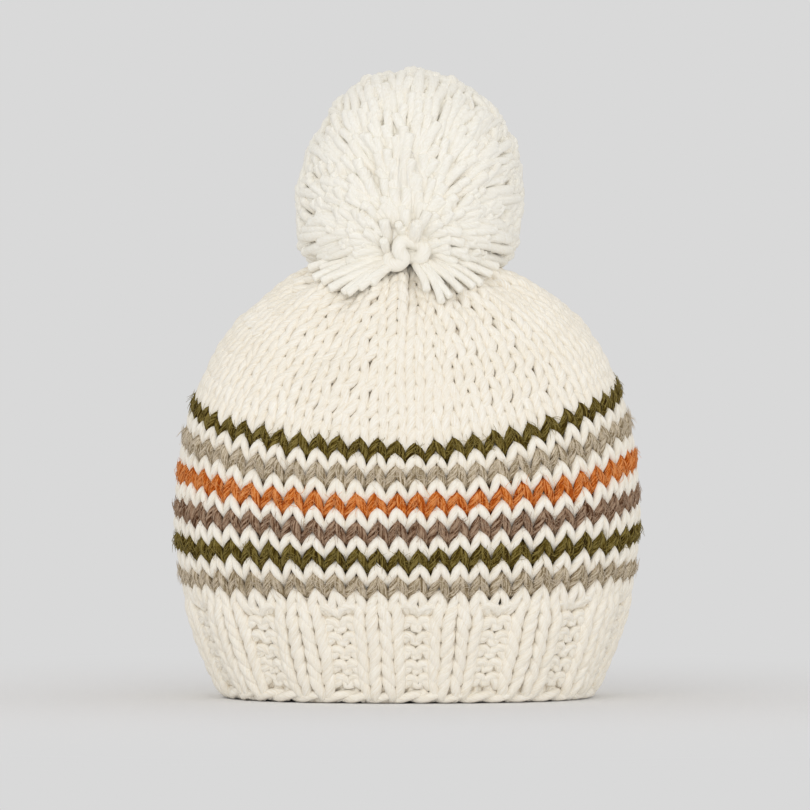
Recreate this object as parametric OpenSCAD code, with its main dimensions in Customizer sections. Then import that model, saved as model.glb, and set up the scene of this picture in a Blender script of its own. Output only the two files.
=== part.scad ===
// Pom pom beanie: a chunky hand-knitted hat, standing open on its cast-on edge.
// The cloth is one surface, cloth_point(column, row, depth): column counts stitches round the
// hat, row counts knitted rounds up from the brim, and depth is measured out of the cloth.
// Millimetres, +Z up, the front of the hat faces -Y.

/* [Body] */
// Outer width of the hat at its widest round
hat_width = 200; // [180:1:220]
// Depth of the hat divided by its width
depth_ratio = 0.74; // [0.68:0.01:0.84]
// Outer width of the ribbed brim at the cast-on edge
brim_width = 157; // [145:1:170]
// Height of the gathered point of the crown
apex_height = 186; // [180:1:192]
// Thickness of the knitted cloth
cloth = 7; // [6:0.5:8]

/* [Knitting] */
// Stitches in one round of the body, in whole ribs of four
stitches = 60; // [56:4:72]
// Height of one round of stitches, measured up the front
row_height = 5.68; // [5.5:0.02:5.8]
// How far a stitch dips into the round below, in rounds
stitch_dip = 0.34; // [0.2:0.02:0.4]
// How far the knit ribs stand out and the purl ribs sink in
rib_relief = 1.3; // [0.5:0.1:1.8]

/* [Slouch] */
// Forward tilt of the gathered point, in degrees
crown_lean = 16; // [12:1:18]
// How far forward the gathered point stands
apex_forward = 22; // [16:1:24]
// How far left the gathered point stands
apex_left = 3; // [0:1:5]
// How much higher the rounds run at the two sides than the tilt alone takes them
side_lift = 9.5; // [4:0.5:11]
// How much more the rounds climb on the right
right_climb = 6.5; // [0:0.5:8]

/* [Pompom] */
// Diameter of the trimmed pompom
pom_diameter = 98; // [85:1:104]
// Height of the pompom's centre over its tie
pom_rise = 28; // [24:1:32]
// How far the pompom's centre stands behind its tie, which shows in front
pom_behind = 22; // [8:1:24]
// Yarn diameter
yarn = 3.2; // [2.8:0.1:3.6]

/* [Hidden] */

// Colours of the yarns
CREAM = "#f1e9da";
POM_CREAM = "#ece6d8";
OLIVE = "#5d5127";
GREY = "#a3937b";
BROWN = "#7d6452";
ORANGE = "#bd6a33";

// Rounds, counted up from the cast-on edge
RIB_START = 0.7;       // top of the cast-on edge
RIB_END = 7;           // top of the rib; twelve single rounds follow
STRIPES_END = RIB_END + 12;
SHOULDER_ROUND = 17;   // where the dome of the crown begins
DECREASE_ROUND = 25;   // where stitches start to be knitted together
CLOSING_ROUND = 35.6;  // the last round, drawn together
APEX_ROUND = 37;

// Form of the cloth's middle surface
OUT = cloth / 2;
IN = -cloth / 2;
HALF_WIDTH = (hat_width - cloth) / 2;
BRIM_HALF_WIDTH = (brim_width - cloth) / 2;
SHOULDER_TAPER = 4;
SHOULDER_HALF_WIDTH = HALF_WIDTH - SHOULDER_TAPER;
WIDEST_ROUND = 11.5;
BRIM_SWELL = 1.7;      // power of the curve by which the sides swell above the brim
DOME_TAPER = 0.3;      // how much the crown narrows in a straight line
DOME_POWER = 2.9;      // how square the crown's shoulder is
SQUARENESS = 2.3;      // superellipse power of a round seen from above
ROUND_OFF_START = 24;  // and from this round on it eases to an ellipse
ROUND_OFF_ROUNDS = 12;
SIDE_SPREAD = 4.6;     // degrees by which the columns are drawn from the front and back to the sides
ORIGIN_SHIFT = 1.6;    // sets the object centrally over the origin
LEAN_START_Z = 30;
TILT_START = 4;        // the rounds tilt from this one on
TILT_ROUNDS = 28;
LIFT_START = 4;        // the rounds lift at the sides from this one on
LIFT_ROUNDS = 16;
CLIMB_ROUNDS = 18;     // the climb on the right grows over these
SAG_FADE = 20;         // lift and climb fade out from this round on
LIFT_FADE_ROUNDS = 16;
CLIMB_FADE_ROUNDS = 14;

function clamp01(t) = max(0, min(1, t));
function ease(t) = let (c = clamp01(t)) c * c * (3 - 2 * c);
function unit(v) = v / norm(v);

// The tilt of a round about X, in degrees
function tilt(row) = crown_lean * ease((row - TILT_START) / TILT_ROUNDS);
// How far up the dome of the crown a round lies: 0 at the shoulder, 1 at the apex
function dome(row) = sin(90 * clamp01((row - SHOULDER_ROUND) / (APEX_ROUND - SHOULDER_ROUND)));

function half_width(row) =
    row < WIDEST_ROUND
        ? HALF_WIDTH - (HALF_WIDTH - BRIM_HALF_WIDTH) * pow(1 - max(row, 0) / WIDEST_ROUND, BRIM_SWELL)
    : row < SHOULDER_ROUND
        ? HALF_WIDTH + (SHOULDER_HALF_WIDTH - HALF_WIDTH)
            * pow((row - WIDEST_ROUND) / (SHOULDER_ROUND - WIDEST_ROUND), 2)
    : SHOULDER_HALF_WIDTH * (1 - DOME_TAPER * dome(row)) * sqrt(1 - pow(dome(row), DOME_POWER));
function half_depth(row) = half_width(row) * depth_ratio;

// The centre of a round
function straight_height(row) = row_height * row + half_depth(row) * sin(tilt(row));
SHOULDER_Z = straight_height(SHOULDER_ROUND);
function centre_z(row) =
    row < SHOULDER_ROUND ? straight_height(row) : SHOULDER_Z + (apex_height - SHOULDER_Z) * dome(row);
function slouch(z) = pow(max(z - LEAN_START_Z, 0) / (apex_height - LEAN_START_Z), 2);
function centre(z) = [-apex_left * slouch(z), ORIGIN_SHIFT - apex_forward * slouch(z), z];

// How far a point of a round sags up or down from the round's flat plane
function lift(row) =
    side_lift * ease((row - LIFT_START) / LIFT_ROUNDS) * (1 - ease((row - SAG_FADE) / LIFT_FADE_ROUNDS));
function climb(row) =
    right_climb * clamp01(row / CLIMB_ROUNDS) * (1 - ease((row - SAG_FADE) / CLIMB_FADE_ROUNDS));
function sag(row, across) = lift(row) * across * across + climb(row) * pow(max(across, 0), 1.5);

// Stitch columns are a little closer on the front and back than on the two sides.
// Column 0 is the middle of the front.
function column_angle(column) =
    let (turn = 360 * column / stitches - 90) turn + SIDE_SPREAD * sin(2 * turn);
function roundness(row) = 2 + (SQUARENESS - 2) * (1 - ease((row - ROUND_OFF_START) / ROUND_OFF_ROUNDS));
function polar(angle, power) =
    1 / pow(pow(abs(cos(angle)), power) + pow(abs(sin(angle)), power), 1 / power);

// A point of the cloth's middle surface
function middle(column, row) =
    let (
        angle = column_angle(column),
        reach = polar(angle, roundness(row)),
        across = reach * cos(angle),
        back = half_depth(row) * reach * sin(angle)
    )
    centre(centre_z(row))
        + [half_width(row) * across, back * cos(tilt(row)), back * sin(tilt(row)) + sag(row, across)];

// The outward direction of the cloth
function outward(column, row) =
    let (
        round_the_hat = middle(column + 0.1, row) - middle(column - 0.1, row),
        up_the_hat = middle(column, row + 0.05) - middle(column, row - 0.05)
    )
    unit(cross(round_the_hat, up_the_hat));
function cloth_point(column, row, depth) = middle(column, row) + depth * outward(column, row);

// K2 P2 rib: columns 0 and 1 of every four are purl and sink in, 2 and 3 are knit and stand out
function rib_depth(column) = -rib_relief * sin(90 * (column + 0.5));
// The purl ribs draw in, so that they are narrower than the knit ones
RIB_DRAW = 0.28;       // in columns
function rib_column(column) = column - RIB_DRAW * sin(90 * (column - 0.5));

// Rings of points that run round the hat. `per_stitch` is how many points a stitch has.
function ring(row, depth, per_stitch = 1) = [
    for (k = [0 : stitches * per_stitch - 1]) cloth_point((k / per_stitch) - 0.5, row, depth)
];
// The edge of a round dips at the middle of each stitch and peaks between two
function toothed_ring(row, depth) = [
    for (k = [0 : 2 * stitches - 1])
        cloth_point(k / 2 - 0.5, row + (k % 2 == 0 ? stitch_dip : -stitch_dip), depth)
];
function ribbed_ring(row) = [
    for (k = [0 : 2 * stitches - 1])
        let (column = k / 2 - 0.5) cloth_point(rib_column(column), row, OUT + rib_depth(column))
];
// A level ring at the bottom of the rib
function level_point(column, row, depth) =
    let (at = middle(column, row), side = outward(column, row))
    at + depth * unit([side[0], side[1], 0]);

// Triangles between a ring of n points that starts at a, and one of m that starts at b.
// One count divides the other.
function band(a, n, b, m) =
    n >= m
        ? let (ratio = n / m) [
            for (j = [0 : m - 1])
                each concat(
                    [for (t = [0 : ratio - 1])
                        let (k = j * ratio + t)
                        [a + k, b + (t < ratio / 2 ? j : (j + 1) % m), a + (k + 1) % n]],
                    [[a + (j * ratio + ceil(ratio / 2)) % n, b + j, b + (j + 1) % m]]
                )
        ]
        : flipped(band(b, m, a, n));
function flipped(faces) = [for (f = faces) [f[2], f[1], f[0]]];
function running_total(counts) = [for (i = 0, s = 0; i < len(counts); s = s + counts[i], i = i + 1) s];

// A shell of cloth between outer rings and inner rings, both listed upwards
module cloth_shell(outer, inner) {
    rings = concat(outer, [for (i = [len(inner) - 1 : -1 : 0]) inner[i]]);
    counts = [for (r = rings) len(r)];
    starts = running_total(counts);
    last = len(rings) - 1;
    polyhedron(
        points = [for (r = rings) each r],
        faces = [
            for (i = [0 : last])
                let (next = i == last ? 0 : i + 1)
                each band(starts[i], counts[i], starts[next], counts[next])
        ],
        convexity = 10
    );
}

// One knitted round
module knitted_round(row, colour) {
    color(colour)
        cloth_shell(
            [toothed_ring(row, OUT), toothed_ring(row + 1, OUT)],
            [ring(row, IN, 0.5), ring(row + 1, IN, 0.5)]
        );
}

// The ribbed band. Its bottom is level and stands on the cast-on edge.
RIB_MIDDLE = 3.5;
RIB_TOP = 5.6;         // from here the rib fades into the plain rounds
module rib_band() {
    foot_outer = [
        for (k = [0 : 2 * stitches - 1])
            let (column = k / 2 - 0.5)
            level_point(rib_column(column), RIB_START, OUT + rib_depth(column))
    ];
    foot_inner = [for (k = [0 : stitches / 2 - 1]) level_point(2 * k - 0.5, RIB_START, IN)];
    color(CREAM)
        cloth_shell(
            [foot_outer, ribbed_ring(RIB_MIDDLE), ribbed_ring(RIB_TOP), toothed_ring(RIB_END, OUT)],
            [foot_inner, ring(RIB_MIDDLE, IN, 0.5), ring(RIB_END, IN, 0.5)]
        );
}

// The cast-on edge: a round cord of loops laid under the rib, flat where it stands
module cast_on_edge() {
    sides = 6;
    radius = 3.9;
    loop_swell = 0.12;
    height = RIB_START * row_height;
    rings = [
        for (s = [0 : sides - 1])
            let (turn = 360 * s / sides)
            [
                for (k = [0 : 2 * stitches - 1])
                    let (
                        loop = 1 + loop_swell * (k % 2),
                        edge = level_point(k / 2 - 0.5, RIB_START, radius * loop * cos(turn))
                    )
                    [edge[0], edge[1], height / 2 * (1 + sin(turn) / sin(60))]
            ]
    ];
    counts = [for (r = rings) len(r)];
    starts = running_total(counts);
    color(CREAM)
        polyhedron(
            points = [for (r = rings) each r],
            faces = [
                for (s = [0 : sides - 1])
                    each band(starts[s], counts[s], starts[(s + 1) % sides], counts[s])
            ],
            convexity = 10
        );
}

module crown_sides() {
    color(CREAM)
        cloth_shell(
            concat([toothed_ring(STRIPES_END, OUT)], [for (row = [21, 23, DECREASE_ROUND]) ring(row, OUT)]),
            [for (row = [STRIPES_END, 22, DECREASE_ROUND]) ring(row, IN, 0.5)]
        );
}

// The crown's decreases draw the cloth in to the closing round
module crown_top() {
    color(CREAM)
        cloth_shell(
            concat(
                [for (row = [DECREASE_ROUND, 27, 29]) ring(row, OUT)],
                [for (row = [31, 32.7, 34.2, CLOSING_ROUND]) ring(row, OUT, 0.5)]
            ),
            [for (row = [DECREASE_ROUND, 27.5, 30, 32.5, 34.2, CLOSING_ROUND]) ring(row, IN, 0.5)]
        );
}

// Where the crown is drawn together, and the direction it faces there
FACING = [0, -sin(crown_lean), cos(crown_lean)];
GATHER = centre(centre_z(CLOSING_ROUND));
module at_gather(height) {
    translate(GATHER + height * FACING) rotate([crown_lean, 0, 0]) children();
}

// A tube swept along points, closed in a loop or with two flat ends.
// `hub` is a point that no stretch of the path runs straight at; it keeps the tube from twisting.
function tube_ring(points, i, closed, diameter, sides, hub) =
    let (
        n = len(points),
        before = closed ? points[(i + n - 1) % n] : points[max(i - 1, 0)],
        after = closed ? points[(i + 1) % n] : points[min(i + 1, n - 1)],
        along = unit(after - before),
        spoke = points[i] - hub,
        side = unit(spoke - along * (spoke * along)),
        other = cross(along, side)
    )
    [
        for (s = [0 : sides - 1])
            let (turn = 360 * s / sides)
            points[i] + diameter / 2 * (cos(turn) * side + sin(turn) * other)
    ];
module tube(points, diameter, closed = false, sides = 8, hub = [0, 0, 0]) {
    n = len(points);
    ends = closed ? [] : [
        [for (s = [0 : sides - 1]) s],
        [for (s = [sides - 1 : -1 : 0]) (n - 1) * sides + s]
    ];
    polyhedron(
        points = [for (i = [0 : n - 1]) each tube_ring(points, i, closed, diameter, sides, hub)],
        faces = concat(
            [
                for (i = [0 : closed ? n - 1 : n - 2])
                    each band(i * sides, sides, ((i + 1) % n) * sides, sides)
            ],
            ends
        ),
        convexity = 10
    );
}

// The yarn threaded through the last loops and pulled tight
module gathering_yarn() {
    steps = 24;
    color(CREAM)
        at_gather(0)
            tube(
                [
                    for (i = [0 : steps - 1])
                        let (turn = 360 * i / steps)
                        [
                            (half_width(CLOSING_ROUND) - yarn / 2) * cos(turn),
                            (half_depth(CLOSING_ROUND) - yarn / 2) * sin(turn),
                            0
                        ]
                ],
                yarn, true, 6
            );
}

// Ends of the six stripe yarns, run in up the inside of the back
TAIL_YARN = 2.4;
TAIL_GAP = 0.7;        // to the cloth, whose facets lie inside its curve
TAILS = [[8.5, GREY], [10.5, OLIVE], [12.5, BROWN], [14.5, ORANGE], [16.5, GREY], [18.5, OLIVE]];
module woven_in_tails() {
    for (i = [0 : len(TAILS) - 1])
        color(TAILS[i][1])
            tube(
                [
                    for (step = [0 : 4])
                        cloth_point(
                            stitches / 2 + 1.4 * i - 4 + 0.3 * step,
                            TAILS[i][0] + 0.7 * step,
                            IN - TAIL_YARN / 2 - TAIL_GAP
                        )
                ],
                TAIL_YARN, false, 6
            );
}

// The pompom pivots just over the gathered point, on the bend of its tie
NECK_RADIUS = 2.6;
NECK_HEIGHT = OUT + 3.5;
GAP = 0.3;
PIVOT = GATHER + NECK_HEIGHT * FACING;
CORD_BOTTOM = -10.5;

// The doubled tie that passes down through the gathered hole
module tie_cord() {
    color(POM_CREAM)
        at_gather(CORD_BOTTOM)
            cylinder(h = NECK_HEIGHT - NECK_RADIUS - GAP - CORD_BOTTOM, d = yarn, $fn = 32);
}

// The bend of the tie between the hat and the pompom
module tie_neck() {
    color(POM_CREAM) at_gather(NECK_HEIGHT) sphere(r = NECK_RADIUS, $fn = 24);
}

// An overhand knot pulled up: a trefoil as tight as its yarn lets it be
KNOT_YARN = 2.8;
KNOT_SPREAD = 0.72 * KNOT_YARN;
KNOT_RISE = 1.22 * KNOT_YARN;
KNOT_STEPS = 30;
module knot() {
    color(POM_CREAM)
        tube(
            [
                for (i = [0 : KNOT_STEPS - 1])
                    let (t = 360 * i / KNOT_STEPS)
                    [
                        KNOT_SPREAD * (sin(t) + 2 * sin(2 * t)),
                        KNOT_SPREAD * (cos(t) - 2 * cos(2 * t)),
                        -KNOT_RISE * sin(3 * t)
                    ]
            ],
            KNOT_YARN, true, 6, [0, 0, -100]
        );
}

// The knot that stops the tie inside the crown, on the cord's end
module inside_knot() {
    at_gather(CORD_BOTTOM) knot();
}

// The pompom: strands of yarn radiate from the tie and are trimmed to a ball
POM_RADIUS = pom_diameter / 2;
POM_CENTRE = [0, PIVOT[1] + pom_behind, PIVOT[2] + pom_rise];
SKIRT_SIDE = 2;        // angle of the underside over the crown's tangent, at the two sides
FRONT_DROOP = 7;       // how much lower it hangs at the front
BACK_DROOP = 13.5;     // and at the back, where it rests
PARTING_ANGLE = 28;    // half the angle of the parting where the knot shows
PARTING_ABOVE = 10;
PARTING_DEPTH = 0.45;
POM_TURNS = 40;
POM_LEVELS = 13;
SOCKET = [6.5, 5.2, 3.6];   // radii of the hollow round the tie, outermost first

// A direction from the tie, by its turn about the facing direction and its angle over the crown
function pom_direction(turn, above) =
    let (flat = [cos(turn) * cos(above), sin(turn) * cos(above), sin(above)])
    [
        flat[0],
        flat[1] * cos(crown_lean) - flat[2] * sin(crown_lean),
        flat[1] * sin(crown_lean) + flat[2] * cos(crown_lean)
    ];
// The distance from the tie to the trimmed ball
function trimmed_reach(direction) =
    let (to_centre = POM_CENTRE - PIVOT, along = direction * to_centre)
    along + sqrt(along * along - to_centre * to_centre + POM_RADIUS * POM_RADIUS);
// Strands part round the knot at the front of the tie
function parting(turn, above) =
    let (away = norm([(turn - 270) / PARTING_ANGLE, (above - PARTING_ABOVE) / PARTING_ANGLE]))
    1 - PARTING_DEPTH * (1 - ease(away));
// Uneven tufts of the trimmed surface
function tuft(turn, above) = 1 + 0.018 * sin(9 * turn) * sin(11 * above);
function skirt_angle(turn) =
    SKIRT_SIDE - (sin(turn) > 0 ? BACK_DROOP : FRONT_DROOP) * pow(sin(turn), 6);

module pom_strands() {
    turns = [for (k = [0 : POM_TURNS - 1]) 360 * k / POM_TURNS];
    skin = [
        for (level = [0 : POM_LEVELS - 1]) [
            for (turn = turns)
                let (
                    skirt = skirt_angle(turn),
                    above = skirt + (86 - skirt) * level / (POM_LEVELS - 1),
                    direction = pom_direction(turn, above)
                )
                PIVOT + trimmed_reach(direction) * parting(turn, above) * tuft(turn, above) * direction
        ]
    ];
    hollow = [
        [for (turn = turns) PIVOT + SOCKET[1] * pom_direction(turn, 50)],
        [for (turn = turns) PIVOT + SOCKET[0] * pom_direction(turn, skirt_angle(turn))]
    ];
    rings = concat([hollow[1]], skin, [hollow[0]]);
    count = POM_LEVELS * POM_TURNS;
    crest = count + 2 * POM_TURNS;
    foot = count;
    throat = count + POM_TURNS;
    color(POM_CREAM)
        polyhedron(
            points = concat(
                [for (r = skin) each r], hollow[1], hollow[0],
                [PIVOT + trimmed_reach(FACING) * FACING, PIVOT + SOCKET[2] * FACING]
            ),
            faces = concat(
                [
                    for (level = [0 : POM_LEVELS - 2])
                        each band(level * POM_TURNS, POM_TURNS, (level + 1) * POM_TURNS, POM_TURNS)
                ],
                band(foot, POM_TURNS, 0, POM_TURNS),
                band(throat, POM_TURNS, foot, POM_TURNS),
                [
                    for (k = [0 : POM_TURNS - 1])
                        let (next = (k + 1) % POM_TURNS, rim = (POM_LEVELS - 1) * POM_TURNS)
                        each [[rim + k, crest, rim + next], [throat + next, crest + 1, throat + k]]
                ]
            ),
            convexity = 10
        );
}

// The yarn that binds the strands together round the tie
BINDING_YARN = 2.8;
BINDING_RADIUS = NECK_RADIUS + GAP + 0.3 + BINDING_YARN / 2;
module pom_binding() {
    color(POM_CREAM)
        at_gather(NECK_HEIGHT + 1.2)
            rotate_extrude($fn = 32) translate([BINDING_RADIUS, 0]) circle(d = BINDING_YARN, $fn = 16);
}

// The knot of the binding, seen in the parting at the front
KNOT_PLACE = [-1.4, -12.5, NECK_HEIGHT + 7];
KNOT_TIP = 70;         // how far it is tipped to face the front
module pom_knot() {
    at_gather(0) translate(KNOT_PLACE) rotate([KNOT_TIP, 0, 0]) knot();
}

cast_on_edge();
rib_band();
knitted_round(RIB_END, CREAM);  // cream_round_1
knitted_round(RIB_END + 1, GREY);  // grey_round_lower
knitted_round(RIB_END + 2, CREAM);  // cream_round_2
knitted_round(RIB_END + 3, OLIVE);  // olive_round_lower
knitted_round(RIB_END + 4, CREAM);  // cream_round_3
knitted_round(RIB_END + 5, BROWN);  // brown_round
knitted_round(RIB_END + 6, CREAM);  // cream_round_4
knitted_round(RIB_END + 7, ORANGE);  // orange_round
knitted_round(RIB_END + 8, CREAM);  // cream_round_5
knitted_round(RIB_END + 9, GREY);  // grey_round_upper
knitted_round(RIB_END + 10, CREAM);  // cream_round_6
knitted_round(RIB_END + 11, OLIVE);  // olive_round_upper
crown_sides();
crown_top();
gathering_yarn();
woven_in_tails();
tie_cord();
inside_knot();
tie_neck();
pom_strands();
pom_binding();
pom_knot();
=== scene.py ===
"""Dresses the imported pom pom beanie: every round is knitted of yarn loops on the hat's surface."""

import math

import bpy
import numpy as np
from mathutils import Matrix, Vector


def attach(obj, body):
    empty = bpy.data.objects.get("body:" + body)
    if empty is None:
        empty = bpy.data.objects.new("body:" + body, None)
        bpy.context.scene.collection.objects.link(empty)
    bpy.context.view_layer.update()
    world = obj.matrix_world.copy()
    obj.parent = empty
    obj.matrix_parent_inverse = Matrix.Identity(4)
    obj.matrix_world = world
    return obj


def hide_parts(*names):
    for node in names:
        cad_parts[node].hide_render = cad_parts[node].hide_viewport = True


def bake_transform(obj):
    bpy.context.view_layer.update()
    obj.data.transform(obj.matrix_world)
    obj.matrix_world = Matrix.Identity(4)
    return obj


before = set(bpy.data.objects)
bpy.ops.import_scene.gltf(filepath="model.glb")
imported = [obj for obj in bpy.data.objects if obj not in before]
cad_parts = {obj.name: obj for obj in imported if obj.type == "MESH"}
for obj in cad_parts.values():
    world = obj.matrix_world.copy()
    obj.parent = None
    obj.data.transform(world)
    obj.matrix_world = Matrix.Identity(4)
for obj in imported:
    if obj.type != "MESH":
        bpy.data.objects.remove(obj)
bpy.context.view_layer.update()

MM = 0.001

# ---------------- the hat's surface, as in the CAD source
STITCHES = 60
CLOTH = 7.0
HALF_WIDTH = (200 - CLOTH) / 2
BRIM_HALF_WIDTH = (157 - CLOTH) / 2
SHOULDER_HALF_WIDTH = HALF_WIDTH - 4
DEPTH_RATIO = 0.74
ROW_HEIGHT = 5.68
APEX_HEIGHT = 186.0
CROWN_LEAN = 16.0
APEX_FORWARD = 22.0
APEX_LEFT = 3.0
SIDE_LIFT = 9.5
RIGHT_CLIMB = 6.5
RIB_RELIEF = 1.3
RIB_START, RIB_END = 0.7, 7
STRIPES_END = 19
WIDEST_ROUND = 11.5
SHOULDER_ROUND = 17
CLOSING_ROUND = 35.6
APEX_ROUND = 37
BRIM_SWELL = 1.7
DOME_TAPER = 0.3
DOME_POWER = 2.9
SQUARENESS = 2.3
ORIGIN_SHIFT = 1.6
LEAN_START_Z = 30
CLIMB_ROUNDS = 18
# Gradual changes up the hat: the round where each starts, and how many it takes
TILT, SAG, SAG_FADE, CLIMB_FADE = (4, 28), (4, 16), (20, 16), (20, 14)
ROUNDING = (24, 12)  # the squared-off outline turns into an ellipse
RIB_FADE = (RIB_END - 0.9, 1.5)
FOLDS, FOLDS_FADE = (25, 6), (33, 3)
FRONT_CROWDING = 4.6  # how much closer the columns lie in front and behind, in degrees
RIB_DRAW = 0.28
FOLD_DEPTH = 2.2  # of the folds below the gather
# The unevenness of hand knitting, as waves round the hat: share, count, rise per round and phase
WAVES = [(0.45, 5, 0.62, 1), (0.3, 11, -0.93, 2.1), (0.25, 17, 1.37, 3.7)]
UNEVEN_COLUMNS, UNEVEN_ROUNDS, UNEVEN_OUT = 0.10, 0.14, 0.35
# Soft creases of the crown: column, round, lean, width, length (columns and rounds) and depth (mm)
CREASES = [
    (-5.5, 26.0, -0.6, 1.6, 4.0, -2.4),
    (-3.5, 24.5, -0.5, 1.8, 4.0, 1.6),
    (8.0, 24.0, 0.5, 2.0, 4.0, -1.4),
    (24.0, 22.0, 0.3, 3.0, 4.0, -1.2),
    (-20.0, 23.0, -0.3, 3.0, 5.0, -1.2),
]


def sin(degrees):
    return np.sin(np.radians(degrees))


def cos(degrees):
    return np.cos(np.radians(degrees))


def xyz(*parts):
    return np.stack(np.broadcast_arrays(*parts), -1)


def ease(t):
    t = np.clip(t, 0, 1)
    return t * t * (3 - 2 * t)


def grown(row, start, rounds):
    return ease((row - start) / rounds)


def tilt(row):
    return CROWN_LEAN * grown(row, *TILT)


def dome(row):
    return sin(90 * np.clip((row - SHOULDER_ROUND) / (APEX_ROUND - SHOULDER_ROUND), 0, 1))


def half_width(row):
    below = 1 - np.clip(row, 0, WIDEST_ROUND) / WIDEST_ROUND
    brim = HALF_WIDTH - (HALF_WIDTH - BRIM_HALF_WIDTH) * below ** BRIM_SWELL
    share = (row - WIDEST_ROUND) / (SHOULDER_ROUND - WIDEST_ROUND)
    body = HALF_WIDTH + (SHOULDER_HALF_WIDTH - HALF_WIDTH) * share ** 2
    crown = SHOULDER_HALF_WIDTH * (1 - DOME_TAPER * dome(row)) * np.sqrt(1 - dome(row) ** DOME_POWER)
    return np.where(row < WIDEST_ROUND, brim, np.where(row < SHOULDER_ROUND, body, crown))


def half_depth(row):
    return half_width(row) * DEPTH_RATIO


def straight_height(row):
    return ROW_HEIGHT * row + half_depth(row) * sin(tilt(row))


SHOULDER_Z = straight_height(SHOULDER_ROUND)


def centre_z(row):
    return np.where(
        row < SHOULDER_ROUND, straight_height(row), SHOULDER_Z + (APEX_HEIGHT - SHOULDER_Z) * dome(row)
    )


def slouch(z):
    return (np.maximum(z - LEAN_START_Z, 0) / (APEX_HEIGHT - LEAN_START_Z)) ** 2


def centre(z):
    return xyz(-APEX_LEFT * slouch(z), ORIGIN_SHIFT - APEX_FORWARD * slouch(z), z)


def sag(row, across):
    """How far a round climbs to the sides, and a little more to the right."""
    lift = SIDE_LIFT * grown(row, *SAG) * (1 - grown(row, *SAG_FADE))
    climb = RIGHT_CLIMB * np.clip(row / CLIMB_ROUNDS, 0, 1) * (1 - grown(row, *CLIMB_FADE))
    return lift * across ** 2 + climb * np.maximum(across, 0) ** 1.5


def middle(column, row):
    """A point of the cloth's middle surface, in mm."""
    turn = 360 * column / STITCHES - 90
    angle = turn + FRONT_CROWDING * sin(2 * turn)
    power = 2 + (SQUARENESS - 2) * (1 - grown(row, *ROUNDING))
    reach = (np.abs(cos(angle)) ** power + np.abs(sin(angle)) ** power) ** (-1 / power)
    across = reach * cos(angle)
    back = half_depth(row) * reach * sin(angle)
    up = back * sin(tilt(row)) + sag(row, across)
    return centre(centre_z(row)) + xyz(half_width(row) * across, back * cos(tilt(row)), up)


def norm(v):
    return np.linalg.norm(v, axis=-1)


def unit(v):
    return v / np.maximum(norm(v), 1e-9)[..., None]


def outward(column, row):
    """The outward direction of the cloth."""
    round_the_hat = middle(column + 0.1, row) - middle(column - 0.1, row)
    up_the_hat = middle(column, row + 0.05) - middle(column, row - 0.05)
    return unit(np.cross(round_the_hat, up_the_hat))


def wander(column, row, phase):
    """A smooth uneven field over the cloth, from -1 to 1, that closes round the hat."""
    turn = 2 * math.pi * column / STITCHES
    return sum(share * np.sin(n * turn + rise * row + shift * phase) for share, n, rise, shift in WAVES)


def rib_fade(row):
    return 1 - grown(row, *RIB_FADE)


def rib_depth(column, row):
    """Knit ribs stand out and purl ribs sink in; the rib fades into the plain rounds."""
    return -RIB_RELIEF * np.sin(np.pi / 2 * (column + 0.5)) * rib_fade(row)


def rib_column(column, row):
    """Purl ribs draw in, so that their stitches are narrower than the knit ones."""
    return column - RIB_DRAW * np.sin(np.pi / 2 * (column - 0.5)) * rib_fade(row)


def crown_relief(column, row):
    """Soft folds that run down from the gather, and the crown's creases."""
    turn = 2 * math.pi * column / STITCHES
    folds = 0.8 * np.cos(13 * turn + 0.8 * np.sin(3 * turn)) + 0.5 * np.cos(7 * turn + 1.0)
    relief = FOLD_DEPTH * folds * grown(row, *FOLDS) * (1 - grown(row, *FOLDS_FADE))
    for place_column, place_row, lean, width, length, depth in CREASES:
        c = (column - place_column + STITCHES / 2) % STITCHES - STITCHES / 2
        r = row - place_row
        along = r - lean * c
        side = c + lean * r
        relief = relief + depth * np.exp(-((side / width) ** 2) - (along / length) ** 2)
    return relief


def cloth_point(column, row, depth):
    """A point at a depth out of the cloth, in mm, with the unevenness of hand knitting."""
    c = rib_column(column, row) + UNEVEN_COLUMNS * wander(column, row, 1.3)
    r = row + UNEVEN_ROUNDS * wander(column, row, 4.2) * ease(row / 4)
    d = depth + UNEVEN_OUT * wander(column, row, 7.9) + crown_relief(column, row)
    return middle(c, r) + d[..., None] * outward(c, r)


# ---------------- yarn meshes


def link_object(name, data):
    made = bpy.data.objects.new(name, data)
    bpy.context.scene.collection.objects.link(made)
    return made


def quads_between(first, second, size):
    """Quads between rings of size vertices; first and second say where each ring begins."""
    k = np.arange(size)
    after = (k + 1) % size
    a, b = first[:, None], second[:, None]
    return np.stack([a + k, a + after, b + after, b + k], -1).reshape(-1, 4)


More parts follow.
